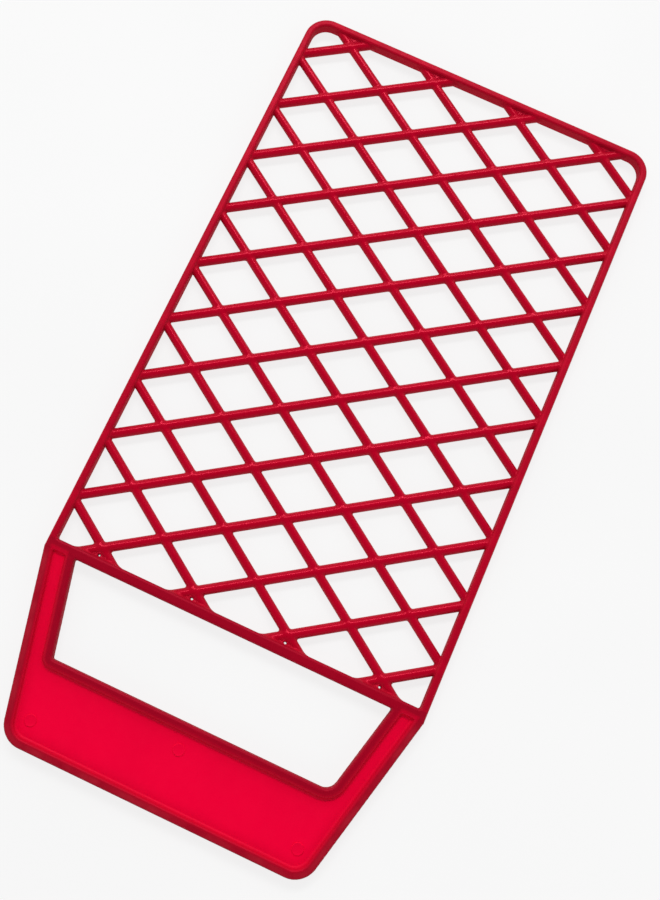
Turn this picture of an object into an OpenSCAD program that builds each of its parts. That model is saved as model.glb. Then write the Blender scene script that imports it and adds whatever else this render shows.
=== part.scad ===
// Fly swatter in translucent red plastic, lying flat.
// A rectangular lattice head with a deep, narrow frame, and a trapezoid grip with a hand opening.
// Millimetres. +Z is up, +Y runs from the grip to the head's top rail, X runs across.
// The origin is on the ground, under the middle of the whole swatter.

/* [Head] */
// Width across the side rails
head_w = 121; // [100:1:150]
// Thickness of the strip that frames the head at the top and the sides
frame_w = 2.3; // [1.8:0.1:4]
// Depth of every rail and rim, from the ground up
rail_depth = 5; // [4:0.2:8]
// Outer radius of the head's two top corners
head_corner_r = 7.5; // [4:0.5:9]
// Width of the crossbar between the lattice and the grip
crossbar_w = 3.3; // [2:0.1:6]

/* [Lattice] */
// Diamonds in a row across the head
diamonds_across = 4; // [3:1:5]
// Whole diamonds in a column along the head
diamonds_along = 9; // [7:1:10]
// Length of a diamond's diagonal across the head
diamond_w = 30; // [27:0.5:36]
// Length of a diamond's diagonal along the head
diamond_l = 20; // [17:0.2:24]
// Distance from the first and last rows of crossings to the rails
crossing_gap = 3; // [2.5:0.1:5]
// Height and width of a bar that rises to the right
rising_bar_w = 3.1; // [2:0.1:3.6]
// Height and width of a bar that falls to the right
falling_bar_w = 2.8; // [2:0.1:3.6]
// Thickness of the webs that fill the small gaps between the outer crossings and the rails
web_t = 2.4; // [0.6:0.1:2.8]
// Diameter of the hole in each web beside the crossbar
web_hole_d = 0.9; // [0.4:0.1:1]

/* [Grip] */
// Length of the grip, from the crossbar to its end
grip_l = 53; // [50:1:70]
// Slope of the grip's sides, in degrees from the long axis
taper = 14.5; // [8:0.5:18]
// Outer radius of the grip's two end corners
grip_corner_r = 7.5; // [5:0.5:10]
// Width of the raised rims
rim_w = 2.7; // [2:0.1:3.5]
// Thickness of the panels between the rims
panel_t = 1.8; // [1.2:0.2:3]
// Width of each arm, measured across the head
arm_w = 9.7; // [8:0.5:12]
// Length of the hand opening, from the crossbar to the palm
opening_l = 27.5; // [24:0.5:32]
// Radius of the hand opening's left corner at the palm
opening_left_r = 0.6; // [0.4:0.2:6]
// Radius of the hand opening's right corner at the palm
opening_right_r = 3.8; // [0.4:0.2:6]

/* [Ejector pads] */
// Diameter of the round pads that the mould's ejector pins leave
pad_d = 3.6; // [2:0.2:5]
// Height of a pad above the panel
pad_h = 0.2; // [0.2:0.1:0.5]

/* [Hidden] */
$fn = 64;
colour = "crimson";
panel_colour = "red";
half_w = head_w / 2;
step_x = diamond_w / 2;
step_y = diamond_l / 2;
bars = diamonds_across + diamonds_along;
slope = atan2(step_y, step_x);
lattice_l = diamonds_along * diamond_l;
inner_l = lattice_l + 2 * crossing_gap;
total_l = frame_w + inner_l + crossbar_w + grip_l;
top_y = total_l / 2;
rail_y = top_y - frame_w;
first_row_y = rail_y - crossing_gap;
crossbar_y = rail_y - inner_l;
grip_y = crossbar_y - crossbar_w;
end_y = -total_l / 2;
mid_z = rail_depth / 2;
opening_half_w = half_w - arm_w;
opening_y = grip_y - opening_l;
corner_turn = 90 - taper;
// Longer than any bar, so that a bar can be cut to the head's inside
bar_blank_l = 2 * (head_w + inner_l);

function two_digits(n) = n < 10 ? str("0", n) : str(n);
function rising_name(n) = str("rising_bar_", two_digits(n));
function falling_name(n) = str("falling_bar_", two_digits(n));

HEAD_NODES = ["top_rail", "top_left_corner", "top_right_corner", "left_rail", "right_rail", "crossbar"];
BAR_NODES = concat([for (n = [1:bars]) rising_name(n)], [for (n = [1:bars]) falling_name(n)]);
WEB_NODES = ["top_rail_webs", "crossbar_webs"];
PANEL_NODES = ["palm_panel", "left_arm_panel", "right_arm_panel", "ejector_pads"];
RIM_NODES = [
    "left_arm_rim", "right_arm_rim", "left_grip_corner", "right_grip_corner", "grip_end_rim",
    "left_opening_rim", "right_opening_rim", "left_opening_corner", "right_opening_corner",
    "palm_opening_rim",
];

// The head's frame

module top_rail() {
    straight_l = head_w - 2 * head_corner_r;
    color(colour) translate([-straight_l / 2, rail_y, 0]) cube([straight_l, frame_w, rail_depth]);
}

module top_left_corner() {
    color(colour) translate([head_corner_r - half_w, top_y - head_corner_r, 0])
        ring_sector(head_corner_r, frame_w, 90, 90);
}

module top_right_corner() {
    mirror([1, 0, 0]) top_left_corner();
}

module left_rail() {
    straight_l = inner_l + frame_w - head_corner_r;
    color(colour) translate([-half_w, crossbar_y, 0]) cube([frame_w, straight_l, rail_depth]);
}

module right_rail() {
    mirror([1, 0, 0]) left_rail();
}

module crossbar() {
    color(colour) translate([-half_w, grip_y, 0]) cube([head_w, crossbar_w, rail_depth]);
}

// A part of a flat ring: outer radius, width, angle of its start and turn, centred on the Z axis
module ring_sector(outer_r, width, start, turn) {
    rotate([0, 0, start]) rotate_extrude(angle = turn)
        translate([outer_r - width, 0]) square([width, rail_depth]);
}

// The lattice. Bar n of either family crosses the long axis n - 1 diamonds below the first one, and
// the two families are mirror images. At a crossing the falling bar keeps its upper half and the
// rising bar its lower half.

// Where bar n crosses the long axis
function bar_y(n) = first_row_y + step_y * (diamonds_across + 1) - diamond_l * n;

// An eight-sided bar along X, its flats level and upright
module bar_blank(width) {
    rotate([90, 0, 90]) linear_extrude(bar_blank_l, center = true)
        rotate(180 / 8) circle(d = width / cos(180 / 8), $fn = 8);
}

// The inside of the head's frame, where the bars end
module head_inside() {
    inner_w = head_w - 2 * frame_w;
    translate([-inner_w / 2, crossbar_y, 0]) cube([inner_w, inner_l, rail_depth]);
}

// A long box that takes half the depth out of what a bar of this width crosses, up or down
module notch(width, n, angle, up) {
    translate([0, bar_y(n), mid_z]) rotate([0, 0, angle])
        translate([-bar_blank_l / 2, -width / 2, up ? 0 : -rail_depth])
        cube([bar_blank_l, width, rail_depth]);
}

module rising_bar(n) {
    color(colour) difference() {
        intersection() {
            translate([0, bar_y(n), mid_z]) rotate([0, 0, slope]) bar_blank(rising_bar_w);
            head_inside();
        }
        for (other = [1:bars]) if (crosses(n, other)) notch(falling_bar_w, other, -slope, true);
    }
}

module falling_bar(n) {
    color(colour) difference() {
        intersection() {
            translate([0, bar_y(n), mid_z]) rotate([0, 0, -slope]) bar_blank(falling_bar_w);
            head_inside();
        }
        for (other = [1:bars]) if (crosses(n, other)) notch(rising_bar_w, other, slope, false);
    }
}

// Two bars cross where neither has passed the side rails
function crosses(n, other) = abs(n - other) <= diamonds_across;

// The webs. Each is a level three-sided plate, below the last row of crossings or above the first
// one, that stands against a rail and against the upright flats of two bars.

// Where the first and the last row of crossings stand across the head
web_places = [for (k = [1:diamonds_across]) (k - (diamonds_across + 1) / 2) * diamond_w];
// Half a bar's width, measured along the head
rising_half = rising_bar_w / 2 / cos(slope);
falling_half = falling_bar_w / 2 / cos(slope);
// A web's base on the crossbar runs from web_left to web_right, measured from the crossing
web_left = (rising_half - crossing_gap) / tan(slope);
web_right = (crossing_gap - falling_half) / tan(slope);
web_middle = (web_left + web_right) / 2;

// The outline of a web below a crossing at the origin
module web_outline() {
    polygon([
        [web_left, -crossing_gap], [web_right, -crossing_gap],
        [web_middle, -(rising_half + falling_half) / 2],
    ]);
}

module top_rail_webs() {
    color(colour) for (x = web_places)
        translate([x, first_row_y, mid_z - web_t / 2]) rotate([0, 0, 180])
        linear_extrude(web_t) web_outline();
}

// The hole is in the middle of the largest circle that fits in the web
module crossbar_webs() {
    hole_y = (web_right - web_left) / 2 * tan(slope / 2) - crossing_gap;
    color(colour) for (x = web_places)
        translate([x, crossbar_y + crossing_gap, mid_z - web_t / 2]) linear_extrude(web_t)
        difference() {
            web_outline();
            translate([web_middle, hole_y]) circle(d = web_hole_d);
        }
}

// The grip's outline: a trapezoid that narrows from grip_y towards the end, with two round corners.
// half_top is half its width at grip_y, and r is a corner's radius.

function side_x(half_top, y) = half_top - (grip_y - y) * tan(taper);
function corner_y(y_low, r) = y_low + r;
function corner_x(half_top, y_low, r) = side_x(half_top, corner_y(y_low, r)) - r / cos(taper);
function tangent(half_top, y_low, r) = [
    corner_x(half_top, y_low, r) + r * cos(taper), corner_y(y_low, r) - r * sin(taper)
];

module trapezoid(half_top, y_low, left_r, right_r) {
    left_side = tangent(half_top, y_low, left_r);
    right_side = tangent(half_top, y_low, right_r);
    left_x = corner_x(half_top, y_low, left_r);
    right_x = corner_x(half_top, y_low, right_r);
    polygon([
        [-half_top, grip_y], [-left_side.x, left_side.y], [-left_x, y_low],
        [right_x, y_low], right_side, [half_top, grip_y],
    ]);
    translate([-left_x, corner_y(y_low, left_r)]) circle(left_r);
    translate([right_x, corner_y(y_low, right_r)]) circle(right_r);
}

// The straight part of a rim on the left, from grip_y down to the corner with this radius.
// half_top, y_low and r are the outline's at the rim's outer edge.
module left_rim(half_top, y_low, r) {
    outer = tangent(half_top, y_low, r);
    inner = [outer.x - rim_w * cos(taper), outer.y + rim_w * sin(taper)];
    inner_top = half_top - rim_w / cos(taper);
    linear_extrude(rail_depth)
        polygon([[-half_top, grip_y], [-outer.x, outer.y], [-inner.x, inner.y], [-inner_top, grip_y]]);
}

module left_corner(half_top, y_low, r) {
    translate([-corner_x(half_top, y_low, r), corner_y(y_low, r), 0])
        ring_sector(r, rim_w, 180 + taper, corner_turn);
}

module low_rim(half_top, y_low, left_r, right_r) {
    left_x = corner_x(half_top, y_low, left_r);
    right_x = corner_x(half_top, y_low, right_r);
    translate([-left_x, y_low, 0]) cube([left_x + right_x, rim_w, rail_depth]);
}

// The rim round the hand opening has its outer edge towards the panels
opening_rim_half_w = opening_half_w + rim_w / cos(taper);
opening_rim_y = opening_y - rim_w;
opening_rim_left_r = opening_left_r + rim_w;
opening_rim_right_r = opening_right_r + rim_w;

module left_arm_rim() {
    color(colour) left_rim(half_w, end_y, grip_corner_r);
}

module right_arm_rim() {
    mirror([1, 0, 0]) left_arm_rim();
}

module left_grip_corner() {
    color(colour) left_corner(half_w, end_y, grip_corner_r);
}

module right_grip_corner() {
    mirror([1, 0, 0]) left_grip_corner();
}

module grip_end_rim() {
    color(colour) low_rim(half_w, end_y, grip_corner_r, grip_corner_r);
}

module left_opening_rim() {
    color(colour) left_rim(opening_rim_half_w, opening_rim_y, opening_rim_left_r);
}

module right_opening_rim() {
    color(colour) mirror([1, 0, 0])
        left_rim(opening_rim_half_w, opening_rim_y, opening_rim_right_r);
}

module left_opening_corner() {
    color(colour) left_corner(opening_rim_half_w, opening_rim_y, opening_rim_left_r);
}

module right_opening_corner() {
    color(colour) mirror([1, 0, 0])
        left_corner(opening_rim_half_w, opening_rim_y, opening_rim_right_r);
}

module palm_opening_rim() {
    color(colour) low_rim(opening_rim_half_w, opening_rim_y, opening_rim_left_r, opening_rim_right_r);
}

// The thin panels that fill the space between the two rims, at half their depth. The arm panels
// end level with the lower edge of the rim round the hand opening, where the palm panel starts.

module panel_outline() {
    panel_corner_r = grip_corner_r - rim_w;
    difference() {
        trapezoid(half_w - rim_w / cos(taper), end_y + rim_w, panel_corner_r, panel_corner_r);
        trapezoid(opening_rim_half_w, opening_rim_y, opening_rim_left_r, opening_rim_right_r);
    }
}

module palm_panel() {
    color(panel_colour) translate([0, 0, mid_z - panel_t / 2]) linear_extrude(panel_t)
        intersection() {
            panel_outline();
            translate([-half_w, end_y]) square([head_w, opening_rim_y - end_y]);
        }
}

module left_arm_panel() {
    color(panel_colour) translate([0, 0, mid_z - panel_t / 2]) linear_extrude(panel_t)
        intersection() {
            panel_outline();
            translate([-half_w, opening_rim_y]) square([half_w, grip_y - opening_rim_y]);
        }
}

module right_arm_panel() {
    color(panel_colour) translate([0, 0, mid_z - panel_t / 2]) linear_extrude(panel_t)
        intersection() {
            panel_outline();
            translate([0, opening_rim_y]) square([half_w, grip_y - opening_rim_y]);
        }
}

// One pad at the middle of the palm, near the opening, and one near each end corner
pad_x = 41.5;
pad_y = end_y + 8;
middle_pad_y = end_y + 18;

module ejector_pads() {
    color(panel_colour) for (place = [[-pad_x, pad_y], [0, middle_pad_y], [pad_x, pad_y]])
        translate([place.x, place.y, mid_z + panel_t / 2]) cylinder(h = pad_h, d = pad_d);
}

top_rail();
top_left_corner();
top_right_corner();
left_rail();
right_rail();
crossbar();
for (n = [1:bars]) rising_bar(n);
for (n = [1:bars]) falling_bar(n);
top_rail_webs();
crossbar_webs();
palm_panel();
left_arm_panel();
right_arm_panel();
ejector_pads();
left_arm_rim();
right_arm_rim();
left_grip_corner();
right_grip_corner();
grip_end_rim();
left_opening_rim();
right_opening_rim();
left_opening_corner();
right_opening_corner();
palm_opening_rim();
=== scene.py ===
"""Fly swatter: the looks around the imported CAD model.

The real object is one injection moulding: round lattice bars that run into each other and into the
frame with fillets, rails and rims with rounded edges, and thin panels between the rims. Its surface
is worked out here once, from a distance field, and then cut into one closed piece for each CAD node.
Lengths in the field are in millimetres, with z measured from the moulding's middle plane.
"""
import math

import bpy
import numpy as np
from mathutils import Matrix, Vector


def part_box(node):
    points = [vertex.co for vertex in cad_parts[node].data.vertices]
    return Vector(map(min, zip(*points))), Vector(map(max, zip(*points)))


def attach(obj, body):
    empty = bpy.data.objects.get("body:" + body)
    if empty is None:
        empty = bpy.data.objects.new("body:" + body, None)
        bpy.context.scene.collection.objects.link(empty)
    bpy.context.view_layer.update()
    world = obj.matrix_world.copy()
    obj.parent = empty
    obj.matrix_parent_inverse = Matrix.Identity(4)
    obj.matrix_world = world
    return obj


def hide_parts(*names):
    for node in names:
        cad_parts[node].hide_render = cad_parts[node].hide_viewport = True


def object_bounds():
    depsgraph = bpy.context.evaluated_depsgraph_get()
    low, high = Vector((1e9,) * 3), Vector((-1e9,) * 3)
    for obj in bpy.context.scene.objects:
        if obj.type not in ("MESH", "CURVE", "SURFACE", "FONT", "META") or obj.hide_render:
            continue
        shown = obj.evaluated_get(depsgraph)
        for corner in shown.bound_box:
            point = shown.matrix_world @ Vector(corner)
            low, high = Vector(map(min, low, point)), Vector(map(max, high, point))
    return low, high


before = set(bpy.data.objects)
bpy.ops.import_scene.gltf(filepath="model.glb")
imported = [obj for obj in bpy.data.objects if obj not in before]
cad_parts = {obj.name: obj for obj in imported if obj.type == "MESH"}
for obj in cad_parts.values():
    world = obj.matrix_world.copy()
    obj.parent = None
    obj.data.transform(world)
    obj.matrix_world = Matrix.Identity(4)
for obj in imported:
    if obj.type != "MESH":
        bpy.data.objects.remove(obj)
cad_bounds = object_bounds()

MM = 0.001


# Sizes, from the frame

def box_mm(node):
    """Lowest and highest corners of a CAD node, in millimetres."""
    low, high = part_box(node)
    return np.array(low) / MM, np.array(high) / MM


rail_low, rail_high = box_mm("left_rail")
corner_low, corner_high = box_mm("top_left_corner")
crossbar_low, crossbar_high = box_mm("crossbar")
end_rim_low, end_rim_high = box_mm("grip_end_rim")
_, palm_rim_high = box_mm("palm_opening_rim")
panel_low, panel_high = box_mm("palm_panel")
rising_low, rising_high = box_mm("rising_bar_05")
falling_low, falling_high = box_mm("falling_bar_05")
pads_low, pads_high = box_mm("ejector_pads")
webs_low, webs_high = box_mm("crossbar_webs")

HALF_W = -rail_low[0]
FRAME_W = rail_high[0] - rail_low[0]
HALF_DEPTH = (rail_high[2] - rail_low[2]) / 2
MID_Z = (rail_high[2] + rail_low[2]) / 2
TOP_Y = corner_high[1]
HEAD_CORNER_R = corner_high[0] - corner_low[0]
CROSSBAR_Y = crossbar_high[1]
CROSSBAR_W = crossbar_high[1] - crossbar_low[1]
GRIP_Y = crossbar_low[1]
END_Y = end_rim_low[1]
RIM_W = end_rim_high[1] - end_rim_low[1]
PANEL_T = panel_high[2] - panel_low[2]
OPENING_Y = palm_rim_high[1]
RISING_BAR_W = rising_high[2] - rising_low[2]
FALLING_BAR_W = falling_high[2] - falling_low[2]
WEB_T = webs_high[2] - webs_low[2]
BARS = sum(name.startswith("rising_bar_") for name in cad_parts)

# Sizes that no box gives, as in the CAD model
DIAMOND_W = 30.0
DIAMOND_L = 20.0
DIAMONDS_ACROSS = 4
CROSSING_GAP = 3.0
TAPER = math.radians(14.5)
GRIP_CORNER_R = 7.5
OPENING_LEFT_R = 0.6
OPENING_RIGHT_R = 3.8
ARM_W = 9.7
PAD_D = 3.6
WEB_HOLE_R = 0.45

# Roundings that only the visible moulding has
EDGE_R = 0.7
BAR_FILLET = 0.4
FOOT_FILLET = 0.7
PANEL_FILLET = 0.9
WALL_FILLET = 0.6

# Places and measures that follow from the sizes
FIRST_ROW_Y = TOP_Y - FRAME_W - CROSSING_GAP
FIRST_BAR_Y = FIRST_ROW_Y + DIAMOND_L / 2 * (DIAMONDS_ACROSS - 1)
CROSSBAR_MID_Y = CROSSBAR_Y - CROSSBAR_W / 2
SLOPE = math.atan2(DIAMOND_L, DIAMOND_W)
BAR_SPACING = DIAMOND_L * math.cos(SLOPE)
OPENING_HALF_W = HALF_W - ARM_W
OPENING_RIM_Y = OPENING_Y - RIM_W
LAST_ROW_Y = CROSSBAR_Y + CROSSING_GAP


# The distance field

def joined(a, b, radius):
    """Union of two distance fields, with a fillet of this radius where they meet."""
    corner = np.hypot(np.maximum(radius - a, 0), np.maximum(radius - b, 0))
    return np.maximum(radius, np.minimum(a, b)) - corner


def smooth(value, low, high):
    """0 below low, 1 above high, and a smooth step between."""
    t = np.clip((value - low) / (high - low), 0, 1)
    return t * t * (3 - 2 * t)


def wall(plan, z):
    """A wall of full depth with rounded edges. plan is the signed distance to its outline."""
    out_plan = plan + EDGE_R
    out_z = np.abs(z) - HALF_DEPTH + EDGE_R
    outside = np.hypot(np.maximum(out_plan, 0), np.maximum(out_z, 0))
    return outside + np.minimum(np.maximum(out_plan, out_z), 0) - EDGE_R


def ring(x, y):
    """Signed distance to the middle line of the head's frame, negative inside the head."""
    out_x = np.abs(x) - (HALF_W - HEAD_CORNER_R)
    out_y = y - (TOP_Y - HEAD_CORNER_R)
    outside = np.hypot(np.maximum(out_x, 0), np.maximum(out_y, 0))
    return outside + np.minimum(np.maximum(out_x, out_y), 0) - (HEAD_CORNER_R - FRAME_W / 2)


def bar_number(x, y, lean):
    """Which bar is nearest, as a real number from 1. lean is 1 for rising bars and -1 for falling."""
    return 1 + (FIRST_BAR_Y + lean * x * math.tan(SLOPE) - y) / DIAMOND_L


def bar_offset(x, y, lean):
    """Distance to the nearest bar's middle line."""
    number = bar_number(x, y, lean)
    return np.abs(number - np.round(number)) * BAR_SPACING


class Trapezoid:
    """An outline of the grip: its half width at GRIP_Y, its low end and its two corners' radii."""

    def __init__(self, half_top, y_low, left_r, right_r):
        self.half_top = half_top
        self.y_low = y_low
        self.left_r = left_r
        self.right_r = right_r

    def corner(self, x):
        """Radius and centre of the corner on the same side as x, with the centre's X made positive."""
        radius = np.where(x < 0, self.left_r, self.right_r)
        centre_y = self.y_low + radius
        side_x = self.half_top - (GRIP_Y - centre_y) * math.tan(TAPER)
        return radius, side_x - radius / math.cos(TAPER), centre_y

    def distance(self, x, y):
        """Signed distance to the outline, negative inside."""
        radius, centre_x, centre_y = self.corner(x)
        over_x = np.abs(x) - centre_x
        over_y = y - centre_y
        to_side = over_x * math.cos(TAPER) - over_y * math.sin(TAPER)
        in_corner = (over_x > 0) & (self.past_side(x, y) > 0)
        straight = np.maximum(to_side, -over_y)
        return np.where(in_corner, np.hypot(over_x, over_y), straight) - radius

    def past_side(self, x, y):
        """How far a point lies past the end of the straight side, towards the low end."""
        _, centre_x, centre_y = self.corner(x)
        return -(np.abs(x) - centre_x) * math.sin(TAPER) - (y - centre_y) * math.cos(TAPER)

    def past_end(self, x, y):
        """How far a point lies past the end of the straight low edge, towards the side."""
        return np.abs(x) - self.corner(x)[1]


grip_outline = Trapezoid(HALF_W, END_Y, GRIP_CORNER_R, GRIP_CORNER_R)
opening_outline = Trapezoid(OPENING_HALF_W, OPENING_Y, OPENING_LEFT_R, OPENING_RIGHT_R)


def walls_field(x, y, z):
    """The rails, the crossbar and the rims, which all have the full depth."""
    overlap = 0.3
    head_frame = np.maximum(np.abs(ring(x, y)) - FRAME_W / 2, GRIP_Y - overlap - y)
    crossbar = np.maximum(np.abs(y - CROSSBAR_MID_Y) - CROSSBAR_W / 2, np.abs(x) - HALF_W + FRAME_W / 2)
    outer_rim = np.abs(grip_outline.distance(x, y) + RIM_W / 2) - RIM_W / 2
    opening_rim = np.abs(opening_outline.distance(x, y) - RIM_W / 2) - RIM_W / 2
    rims = np.maximum(np.minimum(outer_rim, opening_rim), y - GRIP_Y - overlap)
    return wall(joined(np.minimum(head_frame, rims), crossbar, WALL_FILLET), z)


def lattice_field(x, y, z):
    """The round bars, inside the middle line of the head's frame."""
    rising = np.hypot(bar_offset(x, y, 1), z) - RISING_BAR_W / 2
    falling = np.hypot(bar_offset(x, y, -1), z) - FALLING_BAR_W / 2
    bars = joined(rising, falling, foot_fillet(y))
    bars = joined(bars, webs_field(x, y, z), BAR_FILLET)
    return np.maximum(bars, np.maximum(ring(x, y), CROSSBAR_MID_Y - y))


def from_column(x):
    """How far x lies to the right of the nearest column of crossings in the first and last rows."""
    return (x + DIAMOND_W * DIAMONDS_ACROSS / 2) % DIAMOND_W - DIAMOND_W / 2


def web_outline(x, y, row_y, towards):
    """Signed distance to the webs between a row of crossings and the rail on one side of it.
    towards is 1 for the top rail and -1 for the crossbar."""
    past_row = towards * (y - row_y)
    across = towards * from_column(x) * math.sin(SLOPE)
    from_rising = past_row * math.cos(SLOPE) - across - RISING_BAR_W / 2
    from_falling = past_row * math.cos(SLOPE) + across - FALLING_BAR_W / 2
    return np.maximum(past_row - CROSSING_GAP, -np.minimum(from_rising, from_falling))


def webs_field(x, y, z):
    """The webs, a little into the bars and rails round them, with a hole in those at the crossbar."""
    overlap = 0.2
    at_top = web_outline(x, y, FIRST_ROW_Y, 1)
    at_crossbar = web_outline(x, y, LAST_ROW_Y, -1)
    hole_x = (RISING_BAR_W - FALLING_BAR_W) / 4 / math.sin(SLOPE)
    bars_l = (RISING_BAR_W + FALLING_BAR_W) / 2 / math.cos(SLOPE)
    half_base = (CROSSING_GAP - bars_l / 2) / math.tan(SLOPE)
    hole_y = CROSSBAR_Y + half_base * math.tan(SLOPE / 2)
    hole = WEB_HOLE_R - np.hypot(from_column(x) - hole_x, y - hole_y)
    in_plan = np.maximum(np.minimum(at_top, at_crossbar) - overlap, hole)
    return np.maximum(in_plan, np.abs(z) - WEB_T / 2)


def foot_fillet(y):
    """The fillet's radius between bars, which grows beside the crossbar."""
    near_crossbar = 1 - smooth(y - CROSSBAR_Y, CROSSING_GAP, 2 * CROSSING_GAP)
    return BAR_FILLET + (FOOT_FILLET - BAR_FILLET) * near_crossbar


def panel_field(x, y, z):
    """The thin panels, between the middle lines of the two rims."""
    outer = grip_outline.distance(x, y) + RIM_W / 2
    inner = opening_outline.distance(x, y) - RIM_W / 2
    in_plan = np.maximum(np.maximum(outer, -inner), y - CROSSBAR_MID_Y)
    return np.maximum(np.abs(z) - PANEL_T / 2, in_plan)


def field(points):
    """Signed distance to the moulding's surface at each row of points, negative inside."""
    x, y, z = points[..., 0], points[..., 1], points[..., 2]
    with_bars = joined(walls_field(x, y, z), lattice_field(x, y, z), foot_fillet(y))
    return joined(with_bars, panel_field(x, y, z), PANEL_FILLET)


def gradient(points):
    """The field's gradient, by central differences."""
    step = 0.02
    columns = []
    for axis in range(3):
        shift = np.zeros(3)
        shift[axis] = step
        columns.append((field(points + shift) - field(points - shift)) / (2 * step))
    return np.stack(columns, axis=-1)


# The surface, as triangles

def grid_points(low, high, step):
    """Points of a regular grid from low, a step apart, past high."""
    axes = [np.arange(low[a], high[a] + step, step) for a in range(3)]
    return np.stack(np.meshgrid(*axes, indexing="ij"), axis=-1)


def surface_net(grid):
    """Quads through the field's zero surface: one point in each cell that the surface passes."""
    values = field(grid)
    cells = np.array(values.shape) - 1
    total = np.zeros((*cells, 3))
    count = np.zeros(cells)
    edges = []
    for axis in range(3):
        first = (axis + 1) % 3
        second = (axis + 2) % 3
        low = np.take(values, range(cells[axis]), axis)
        high = np.take(values, range(1, cells[axis] + 1), axis)
        node = np.argwhere((low < 0) != (high < 0))
        low_value = low[tuple(node.T)]
        high_value = high[tuple(node.T)]
        place = node.astype(float)
        place[:, axis] += low_value / (low_value - high_value)
        around = []
        for back_first, back_second in ((1, 1), (0, 1), (0, 0), (1, 0)):
            cell = node.copy()
            cell[:, first] -= back_first
            cell[:, second] -= back_second
            around.append(cell)
            real = ((cell >= 0) & (cell < cells)).all(axis=1)
            np.add.at(total, tuple(cell[real].T), place[real])
            np.add.at(count, tuple(cell[real].T), 1)
        edges.append((np.stack(around, axis=1), low_value < 0))
    used = count > 0
    index = np.full(cells, -1)
    index[used] = np.arange(used.sum())
    step = grid[1, 1, 1] - grid[0, 0, 0]
    points = grid[0, 0, 0] + step * total[used] / count[used][:, None]
    quads = []
    for around, outward in edges:
        real = ((around >= 0) & (around < cells)).all(axis=(1, 2))
        quad = index[tuple(np.moveaxis(around[real], 2, 0))]
        quads.append(np.where(outward[real][:, None], quad, quad[:, ::-1]))
    return points, np.concatenate(quads)


def settle(points):
    """Moves points onto the field's zero surface."""
    rounds = 5
    least_steep = 0.05
    for _ in range(rounds):
        slope = gradient(points)
        steep = np.maximum((slope ** 2).sum(axis=1), least_steep)
        points = points - (field(points) / steep)[:, None] * slope
    return points


def triangles(points, quads):
    """Each quad as two triangles, along its shorter diagonal."""
    a, b, c, d = quads.T
    ac_squared = ((points[a] - points[c]) ** 2).sum(axis=1)
    bd_squared = ((points[b] - points[d]) ** 2).sum(axis=1)
    along_ac = (ac_squared <= bd_squared)[:, None]
    first = np.where(along_ac, np.stack([a, b, c], 1), np.stack([a, b, d], 1))
    second = np.where(along_ac, np.stack([a, c, d], 1), np.stack([b, c, d], 1))
    return np.concatenate([first, second])


class Skin:
    """The moulding's surface, whose triangles are cut and sorted into pieces."""

    # Points this near to a cut are taken to lie on it
    SNAP = 0.04

    def __init__(self, points):
        self.points = points

    def split(self, faces, level):
        """Cuts the faces along level(x, y, z) = 0, and returns those below and those above it."""
        height = level(*self.points.T).astype(float)
        height[np.abs(height) < self.SNAP] = 0
        side = np.sign(height)[faces]
        mixed = (side.min(axis=1) < 0) & (side.max(axis=1) > 0)
        above = side.max(axis=1) > 0
        kept_below = faces[~mixed & ~above]
        kept_above = faces[~mixed & above]
        faces, side = faces[mixed], side[mixed]
        touching = (side == 0).any(axis=1)
        alone = side == -np.sign(side.sum(axis=1))[:, None]
        first = np.where(touching, np.argmax(side == 0, axis=1), np.argmax(alone, axis=1))
        turn = (first[:, None] + np.arange(3)) % 3
        faces = np.take_along_axis(faces, turn, axis=1)
        side = np.take_along_axis(side, turn, axis=1)
        a, b, c = faces.T
        edge_ends = [
            np.stack([a, b], 1)[~touching],
            np.stack([a, c], 1)[~touching],
            np.stack([b, c], 1)[touching],
        ]
        ends, where = np.unique(np.sort(np.concatenate(edge_ends), axis=1), axis=0, return_inverse=True)
        where = len(self.points) + where.ravel()
        low, high = height[ends[:, 0]], height[ends[:, 1]]
        share = (low / (low - high))[:, None]
        new_points = self.points[ends[:, 0]] * (1 - share) + self.points[ends[:, 1]] * share
        self.points = np.concatenate([self.points, new_points])
        plain = int((~touching).sum())
        on_ab, on_ac, on_bc = where[:plain], where[plain:2 * plain], where[2 * plain:]
        pieces = [kept_below], [kept_above]
        a, b, c, s = a[~touching], b[~touching], c[~touching], side[~touching, 0]
        self._add(pieces, np.stack([a, on_ab, on_ac], 1), s)
        self._add(pieces, np.stack([on_ab, b, c], 1), -s)
        self._add(pieces, np.stack([on_ab, c, on_ac], 1), -s)
        a, b, c = faces[touching].T
        self._add(pieces, np.stack([a, b, on_bc], 1), side[touching, 1])
        self._add(pieces, np.stack([a, on_bc, c], 1), side[touching, 2])
        return np.concatenate(pieces[0]), np.concatenate(pieces[1])

    @staticmethod
    def _add(pieces, faces, side):
        """Adds the faces to those below or those above the cut, by their side of it."""
        pieces[0].append(faces[side < 0])
        pieces[1].append(faces[side > 0])

    def middles(self, faces):
        """The middle of each face."""
        return self.points[faces].mean(axis=1)


def upper_skin():
    """The moulding's surface, and the faces of it that lie above its middle plane."""
    step = 0.46
    margin = 2.1 * step
    low = (-HALF_W - margin, END_Y - margin, -step)
    high = (HALF_W + margin, TOP_Y + margin, HALF_DEPTH + margin)
    points, quads = surface_net(grid_points(low, high, step))
    points = settle(points)
    skin = Skin(points)
    _, above = skin.split(triangles(points, quads), lambda x, y, z: z)
    points = skin.points
    points[np.abs(points[:, 2]) < Skin.SNAP, 2] = 0
    return skin, above


def left_and_right(skin, faces, name):
    """The faces on either side of the long axis, named by putting left or right into name."""
    left = skin.middles(faces)[:, 0] < 0
    return {name.format("left"): faces[left], name.format("right"): faces[~left]}


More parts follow.
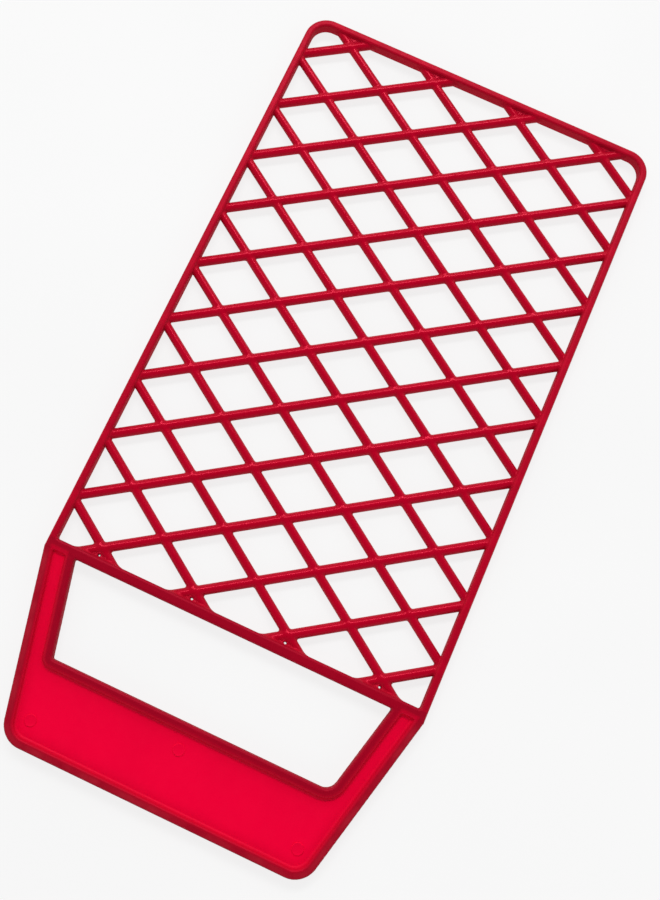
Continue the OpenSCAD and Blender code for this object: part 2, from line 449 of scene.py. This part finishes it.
def by_bar(skin, faces, lean, name):
    """The faces sorted by the bar that they are nearest to."""
    x, y, _ = skin.middles(faces).T
    number = np.clip(np.round(bar_number(x, y, lean)), 1, BARS)
    return {f"{name}_{n:02d}": faces[number == n] for n in range(1, BARS + 1)}


def head_pieces(skin, faces):
    """The head's faces, by CAD node. The rails keep the feet of the bars, and the rising bars keep the
    fillets at the crossings."""
    corner_x = HALF_W - HEAD_CORNER_R
    corner_y = TOP_Y - HEAD_CORNER_R
    crossbar_foot = 1.2
    rail_foot = 2.0
    slab = RISING_BAR_W / 2 + BAR_FILLET
    # The webs are cut out a little past their outline, since a cut in the plane of a wall would
    # leave two faces in one place
    web_foot = 0.3
    crossbar, rest = skin.split(faces, lambda x, y, z: y - CROSSBAR_Y - crossbar_foot)
    crossbar_webs, crossbar = skin.split(
        crossbar, lambda x, y, z: web_outline(x, y, LAST_ROW_Y, -1) - web_foot
    )
    lattice, rails = skin.split(rest, lambda x, y, z: ring(x, y) + FRAME_W / 2 + rail_foot)
    sides, top = skin.split(rails, lambda x, y, z: y - corner_y)
    middle, corners = skin.split(top, lambda x, y, z: np.abs(x) - corner_x)
    top_rail_webs, middle = skin.split(
        middle, lambda x, y, z: web_outline(x, y, FIRST_ROW_Y, 1) - web_foot
    )
    rising, falling = skin.split(lattice, lambda x, y, z: bar_offset(x, y, 1) - slab)
    return {
        "crossbar": crossbar,
        "crossbar_webs": crossbar_webs,
        "top_rail": middle,
        "top_rail_webs": top_rail_webs,
        **left_and_right(skin, sides, "{}_rail"),
        **left_and_right(skin, corners, "top_{}_corner"),
        **by_bar(skin, rising, 1, "rising_bar"),
        **by_bar(skin, falling, -1, "falling_bar"),
    }


def rim_pieces(skin, faces, outline, arm, corner, low):
    """A rim's faces as its two arms, two corners and low end."""
    arms, rest = skin.split(faces, lambda x, y, z: outline.past_side(x, y))
    end, corners = skin.split(rest, lambda x, y, z: outline.past_end(x, y))
    return {low: end, **left_and_right(skin, arms, arm), **left_and_right(skin, corners, corner)}


def grip_pieces(skin, faces):
    """The grip's faces, by CAD node. The rims keep the fillets at their feet."""
    foot = RIM_W + PANEL_FILLET
    rest, outer = skin.split(faces, lambda x, y, z: grip_outline.distance(x, y) + foot)
    inner, panels = skin.split(rest, lambda x, y, z: opening_outline.distance(x, y) - foot)
    palm, arms = skin.split(panels, lambda x, y, z: y - OPENING_RIM_Y)
    return {
        "palm_panel": palm,
        **left_and_right(skin, arms, "{}_arm_panel"),
        **rim_pieces(skin, outer, grip_outline, "{}_arm_rim", "{}_grip_corner", "grip_end_rim"),
        **rim_pieces(
            skin, inner, opening_outline, "{}_opening_rim", "{}_opening_corner", "palm_opening_rim"
        ),
    }


# The pieces, as Blender objects

def closed_shell(points, faces):
    """The faces, their mirror image below the middle plane, and walls where the piece was cut off.
    Returns the points' rows in points, which points are mirrored, and the three kinds of face."""
    used, local = np.unique(faces, return_inverse=True)
    upper = local.reshape(-1, 3)
    on_middle = points[used, 2] == 0
    twin = np.where(on_middle, np.arange(len(used)), len(used) + np.cumsum(~on_middle) - 1)
    lower = twin[upper][:, ::-1]
    ends = np.concatenate([upper[:, [0, 1]], upper[:, [1, 2]], upper[:, [2, 0]]])
    keys = ends[:, 0] * len(used) + ends[:, 1]
    back = ends[:, 1] * len(used) + ends[:, 0]
    rim = ends[~np.isin(back, keys)]
    rim = rim[~(on_middle[rim].all(axis=1))]
    walls = [
        [b, a] + ([twin[a]] if twin[a] != a else []) + ([twin[b]] if twin[b] != b else [])
        for a, b in rim
    ]
    rows = np.concatenate([used, used[~on_middle]])
    mirrored = np.arange(len(rows)) >= len(used)
    return rows, mirrored, upper, lower, walls


def glow(points):
    """Painted backlight for the base colour, standing in for light that comes up through the plastic: 0 in
    the deep rims, 1 in the middle of a panel, with painted shade near the rims and a painted lighter line
    along the middle of each bar.
    """
    x, y, _ = points.T
    from_outer = -grip_outline.distance(x, y) - RIM_W
    from_inner = opening_outline.distance(x, y) - RIM_W
    from_rim = np.minimum(np.minimum(from_outer, from_inner), GRIP_Y + 0.5 - y)
    at_foot = 0.84 * smooth(from_rim, -1.2, 1.0)
    further_in = 0.08 * smooth(from_rim, 0.5, 4.5)
    towards_end = 0.08 * smooth(OPENING_RIM_Y - y, 0, 14) * smooth(from_rim, 0, 3)
    # Painted highlight: the bars are lighter along their middle lines
    from_axis = np.minimum(bar_offset(x, y, 1), bar_offset(x, y, -1))
    on_bar = 0.10 + 0.10 * (1 - smooth(from_axis, 0.3, 1.4))
    return np.where(y < CROSSBAR_Y, at_foot + further_in + towards_end, on_bar)


def wear_and_sheen(points):
    """How much the grip's outer edge turns a greyish red, as scuffs from handling together with a painted
    sheen of light on its top: 1 along the top of the grip's outer edge.
    """
    x, y, z = points.T
    inwards = -grip_outline.distance(x, y)
    on_edge = smooth(inwards, 0.1, 0.7) * (1 - smooth(inwards, 1.3, 2.2)) * smooth(np.abs(z), 1.4, 2.2)
    return on_edge * smooth(CROSSBAR_Y - y, 0, 8)


def matt(points):
    """How much duller the surface is than on the glossy bars: 1 on the rails, the rims and the grip."""
    x, y, _ = points.T
    return np.maximum(smooth(CROSSBAR_Y - y, -1, 0), smooth(ring(x, y), -FRAME_W, -FRAME_W / 2))


def moulded_piece(name, skin, normals, faces):
    """One closed piece of the moulding, in place of the CAD node of that name."""
    rows, mirrored, upper, lower, walls = closed_shell(skin.points, faces)
    place = skin.points[rows].copy()
    flip = np.where(mirrored, -1.0, 1.0)
    place[:, 2] *= flip
    outward = normals[rows].copy()
    outward[:, 2] *= flip
    mesh = bpy.data.meshes.new(name + "_moulded")
    polygons = upper.tolist() + lower.tolist() + walls
    metres = (place + np.array([0, 0, MID_Z])) * MM
    mesh.from_pydata(metres.tolist(), [], polygons)
    corner_normals = outward[np.concatenate([upper, lower]).ravel()].tolist()
    for polygon in mesh.polygons[len(upper) + len(lower):]:
        corner_normals += [tuple(polygon.normal)] * polygon.loop_total
    mesh.polygons.foreach_set("use_smooth", [True] * len(polygons))
    mesh.normals_split_custom_set(corner_normals)
    for measure in (glow, wear_and_sheen, matt):
        attribute = mesh.attributes.new(measure.__name__, "FLOAT", "POINT")
        attribute.data.foreach_set("value", measure(place).astype(np.float32))
    piece = bpy.data.objects.new(name + "_moulded", mesh)
    bpy.context.scene.collection.objects.link(piece)
    return piece


def disc_polygons(start, rings, sides):
    """Faces of a round form: a fan from the vertex at start, bands between rings, and a flat base."""
    def at(ring_number, k):
        return start + 1 + ring_number * sides + k % sides

    polygons = []
    for k in range(sides):
        polygons.append((start, at(0, k), at(0, k + 1)))
        for r in range(rings - 1):
            polygons.append((at(r, k), at(r + 1, k), at(r + 1, k + 1), at(r, k + 1)))
    polygons.append([at(rings - 1, k) for k in reversed(range(sides))])
    return polygons


def ejector_pads():
    """The three flat round marks on the palm, each with a soft edge and a shallow dish."""
    # Share of the radius, and height above the panel
    profile = [(0.0, 0.10), (0.55, 0.11), (0.72, 0.14), (0.84, 0.19), (0.92, 0.2), (0.98, 0.15), (1.0, 0.0)]
    radius = PAD_D / 2
    sides = 48
    below = 0.15
    middle_x = (pads_low[0] + pads_high[0]) / 2
    side_x = pads_high[0] - radius
    places = [
        (-side_x, pads_low[1] + radius), (middle_x, pads_high[1] - radius), (side_x, pads_low[1] + radius),
    ]
    base_z = panel_high[2]
    vertices = []
    polygons = []
    for x, y in places:
        start = len(vertices)
        vertices.append((x, y, base_z + profile[0][1]))
        rings = profile[1:] + [(1.0, -below)]
        for share, height in rings:
            for k in range(sides):
                angle = 2 * math.pi * k / sides
                vertices.append((
                    x + share * radius * math.cos(angle),
                    y + share * radius * math.sin(angle),
                    base_z + height,
                ))
        polygons += disc_polygons(start, len(rings), sides)
    mesh = bpy.data.meshes.new("ejector_pads_moulded")
    mesh.from_pydata([[c * MM for c in v] for v in vertices], [], polygons)
    mesh.polygons.foreach_set("use_smooth", [len(p) < 5 for p in polygons])
    # Painted backlight: the pads take nearly the full painted light of the panel under them
    for name, value in (("glow", 0.92), ("matt", 1.0)):
        attribute = mesh.attributes.new(name, "FLOAT", "POINT")
        attribute.data.foreach_set("value", [value] * len(vertices))
    piece = bpy.data.objects.new("ejector_pads_moulded", mesh)
    bpy.context.scene.collection.objects.link(piece)
    return piece


# Materials

class Nodes:
    """A new material's node tree, with short ways to add and join nodes."""

    def __init__(self, name):
        self.material = bpy.data.materials.new(name)
        self.material.use_nodes = True
        self.tree = self.material.node_tree
        self.shader = self.tree.nodes["Principled BSDF"]

    def add(self, kind, **settings):
        node = self.tree.nodes.new("ShaderNode" + kind)
        for name, value in settings.items():
            setattr(node, name, value)
        return node

    def join(self, source, target):
        self.tree.links.new(source, target)

    def noise(self, scale, detail, stretch=(1, 1, 1)):
        """Noise in metres across the object."""
        place = self.add("TexCoord")
        mapping = self.add("Mapping")
        mapping.inputs["Scale"].default_value = stretch
        noise = self.add("TexNoise")
        noise.inputs["Scale"].default_value = scale
        noise.inputs["Detail"].default_value = detail
        self.join(place.outputs["Object"], mapping.inputs["Vector"])
        self.join(mapping.outputs["Vector"], noise.inputs["Vector"])
        return noise.outputs["Fac"]

    def range(self, value, low, high, start=0.0, end=1.0):
        """value moved from start..end to low..high."""
        node = self.add("MapRange")
        node.inputs["From Min"].default_value = start
        node.inputs["From Max"].default_value = end
        node.inputs["To Min"].default_value = low
        node.inputs["To Max"].default_value = high
        self.join(value, node.inputs["Value"])
        return node.outputs["Result"]

    def ramp(self, value, stops):
        node = self.add("ValToRGB")
        elements = node.color_ramp.elements
        while len(elements) < len(stops):
            elements.new(0.5)
        for element, (position, colour) in zip(elements, stops):
            element.position = position
            element.color = (*colour, 1)
        self.join(value, node.inputs["Fac"])
        return node.outputs["Color"]


# Linear colours of the translucent red, as lit and shaded copies for the painted backlight: from deep
# plastic with no light through it to a thin panel with light behind it
DEEP_RED = (0.30, 0.0012, 0.013)
LIT_BAR_RED = (0.40, 0.0012, 0.015)
SHADED_RED = (0.56, 0.0006, 0.022)
BACKLIT_PANEL_RED = (0.86, 0.0, 0.036)
# Greyish red of scuffs on the grip's edge, which also serves as a painted sheen
WORN_SHEEN_RED = (0.42, 0.016, 0.032)
# How much rougher the matt surfaces are than the bars
MATT_ROUGHER = 0.22


def red_plastic():
    """Glossy moulded plastic with painted backlight in its colour, deeper red in the thick rims and lighter
    in the thin panels, with fine flow marks, scuffs and a painted sheen on the grip's edge, dulling and
    grain.
    """
    nodes = Nodes("red_plastic")
    painted_backlight = nodes.add("Attribute", attribute_name="glow").outputs["Fac"]
    flow = nodes.range(nodes.noise(55, 3, (1, 0.35, 1)), -0.035, 0.035, 0.3, 0.7)
    marked = nodes.add("Math", operation="ADD")
    nodes.join(painted_backlight, marked.inputs[0])
    nodes.join(flow, marked.inputs[1])
    # Painted backlight: the glow attribute picks among lit and shaded copies of the red
    stops = [(0.0, DEEP_RED), (0.13, LIT_BAR_RED), (0.55, SHADED_RED), (1.0, BACKLIT_PANEL_RED)]
    # Scuffs mixed with a painted sheen along the top of the grip's outer edge
    scuffs_and_sheen = nodes.add("Math", operation="MULTIPLY")
    nodes.join(nodes.add("Attribute", attribute_name="wear_and_sheen").outputs["Fac"], scuffs_and_sheen.inputs[0])
    nodes.join(nodes.range(nodes.noise(160, 4), 0.1, 0.6, 0.35, 0.65), scuffs_and_sheen.inputs[1])
    worn_and_sheen = nodes.add("Mix", data_type="RGBA")
    nodes.join(scuffs_and_sheen.outputs[0], worn_and_sheen.inputs["Factor"])
    nodes.join(nodes.ramp(marked.outputs[0], stops), worn_and_sheen.inputs["A"])
    worn_and_sheen.inputs["B"].default_value = (*WORN_SHEEN_RED, 1)
    nodes.join(worn_and_sheen.outputs["Result"], nodes.shader.inputs["Base Color"])
    upright = nodes.add("SeparateXYZ")
    nodes.join(nodes.add("NewGeometry").outputs["Normal"], upright.inputs[0])
    level = nodes.add("Math", operation="ABSOLUTE")
    nodes.join(upright.outputs["Z"], level.inputs[0])
    dull_sides = nodes.range(level.outputs[0], 0.45, 0.0, 0.3, 0.8)
    roughness = nodes.add("Math", operation="ADD")
    duller = nodes.add("Math", operation="MULTIPLY_ADD")
    nodes.join(nodes.add("Attribute", attribute_name="matt").outputs["Fac"], duller.inputs[0])
    duller.inputs[1].default_value = MATT_ROUGHER
    nodes.join(nodes.range(nodes.noise(420, 4), 0.15, 0.26, 0.3, 0.7), duller.inputs[2])
    nodes.join(duller.outputs[0], roughness.inputs[0])
    nodes.join(dull_sides, roughness.inputs[1])
    nodes.join(roughness.outputs[0], nodes.shader.inputs["Roughness"])
    bump = nodes.add("Bump")
    bump.inputs["Strength"].default_value = 0.25
    bump.inputs["Distance"].default_value = 0.00006
    nodes.join(nodes.noise(1400, 3), bump.inputs["Height"])
    nodes.join(bump.outputs["Normal"], nodes.shader.inputs["Normal"])
    nodes.shader.inputs["IOR"].default_value = 1.45
    nodes.shader.inputs["Specular IOR Level"].default_value = 0.5
    nodes.shader.inputs["Specular Tint"].default_value = (1.0, 0.07, 0.14, 1)
    return nodes.material


def floor_paper():
    """Grey paper with a strong white glow of its own, so that it looks near white with faint shadows."""
    nodes = Nodes("pale_paper")
    tone = nodes.noise(9, 2)
    stops = [(0.3, (0.105, 0.105, 0.105)), (0.7, (0.12, 0.12, 0.12))]
    nodes.join(nodes.ramp(tone, stops), nodes.shader.inputs["Base Color"])
    nodes.shader.inputs["Roughness"].default_value = 0.9
    nodes.shader.inputs["Specular IOR Level"].default_value = 0.1
    nodes.shader.inputs["Emission Color"].default_value = (1, 1, 1, 1)
    nodes.shader.inputs["Emission Strength"].default_value = 0.82
    return nodes.material


# The scene around the object

def add_floor():
    """A wide level sheet, a hair below the swatter."""
    mesh = bpy.data.meshes.new("floor")
    reach = 6.0
    gap = 0.0001
    corners = [(-reach, -reach, 0), (reach, -reach, 0), (reach, reach, 0), (-reach, reach, 0)]
    mesh.from_pydata(corners, [], [(0, 1, 2, 3)])
    floor = bpy.data.objects.new("floor", mesh)
    bpy.context.scene.collection.objects.link(floor)
    mesh.materials.append(floor_paper())
    floor.location.z = cad_bounds[0][2] - gap


def add_strip_light(name, direction, along, distance, length, width, radiance, aim):
    """A long light that faces aim from a direction, with its length along another direction."""
    data = bpy.data.lights.new(name, "AREA")
    data.shape = "RECTANGLE"
    data.size = length
    data.size_y = width
    data.energy = radiance * math.pi * length * width
    light = bpy.data.objects.new(name, data)
    bpy.context.scene.collection.objects.link(light)
    z_axis = Vector(direction).normalized()
    y_axis = z_axis.cross(Vector(along)).normalized()
    x_axis = y_axis.cross(z_axis)
    turn = Matrix((x_axis, y_axis, z_axis)).transposed().to_4x4()
    light.matrix_world = Matrix.Translation(Vector(aim) + z_axis * distance) @ turn


def add_world():
    """Bright from the horizon to well up the sky, and dark overhead, so that level faces keep their
    full colour."""
    world = bpy.data.worlds.new("studio")
    world.use_nodes = True
    tree = world.node_tree
    background = tree.nodes["Background"]
    coordinates = tree.nodes.new("ShaderNodeTexCoord")
    split = tree.nodes.new("ShaderNodeSeparateXYZ")
    ramp = tree.nodes.new("ShaderNodeValToRGB")
    brightest = 0.95
    stops = [(0.0, 0.94), (0.10, 0.94), (0.25, 0.95), (0.60, 0.95), (0.80, 0.25), (0.92, 0.03)]
    elements = ramp.color_ramp.elements
    while len(elements) < len(stops):
        elements.new(0.5)
    for element, (position, grey) in zip(elements, stops):
        element.position = position
        element.color = (grey / brightest, grey / brightest, grey / brightest, 1)
    background.inputs["Strength"].default_value = brightest
    tree.links.new(coordinates.outputs["Generated"], split.inputs[0])
    tree.links.new(split.outputs["Z"], ramp.inputs["Fac"])
    tree.links.new(ramp.outputs["Color"], background.inputs["Color"])
    bpy.context.scene.world = world


def add_camera():
    """Above the grip's side of the middle, with the swatter turned in the picture."""
    data = bpy.data.cameras.new("camera")
    data.lens = 48
    data.sensor_width = 36
    data.shift_x = 0.0167
    data.shift_y = -0.1333
    data.clip_start = 0.01
    camera = bpy.data.objects.new("camera", data)
    bpy.context.scene.collection.objects.link(camera)
    camera.location = (0.0064, -0.0696, 0.3626)
    camera.rotation_euler = [math.radians(a) for a in (14.657, -2.920, 24.424)]
    bpy.context.scene.camera = camera


add_camera()
add_floor()
add_world()
add_strip_light(
    "strip_light",
    direction=(-0.212, 0.526, 0.823),
    along=(math.cos(SLOPE), math.sin(SLOPE), 0),
    distance=1.5,
    length=1.1,
    width=0.30,
    radiance=15.0,
    aim=(0, 0, MID_Z * MM),
)
bpy.context.scene.view_settings.view_transform = "Standard"

plastic = red_plastic()

skin, faces = upper_skin()
# The crossbar keeps the fillets at its foot: a cut in the plane of its wall would leave two faces in
# one place
grip_foot = PANEL_FILLET + 0.1
grip_faces, head_faces = skin.split(faces, lambda x, y, z: y - GRIP_Y + grip_foot)
pieces = {**head_pieces(skin, head_faces), **grip_pieces(skin, grip_faces)}
normals = gradient(skin.points)
normals /= np.linalg.norm(normals, axis=1)[:, None]
objects = {name: moulded_piece(name, skin, normals, part) for name, part in pieces.items()}
objects["ejector_pads"] = ejector_pads()
for name, piece in objects.items():
    piece.data.materials.append(plastic)
    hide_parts(name)
    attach(piece, "root")
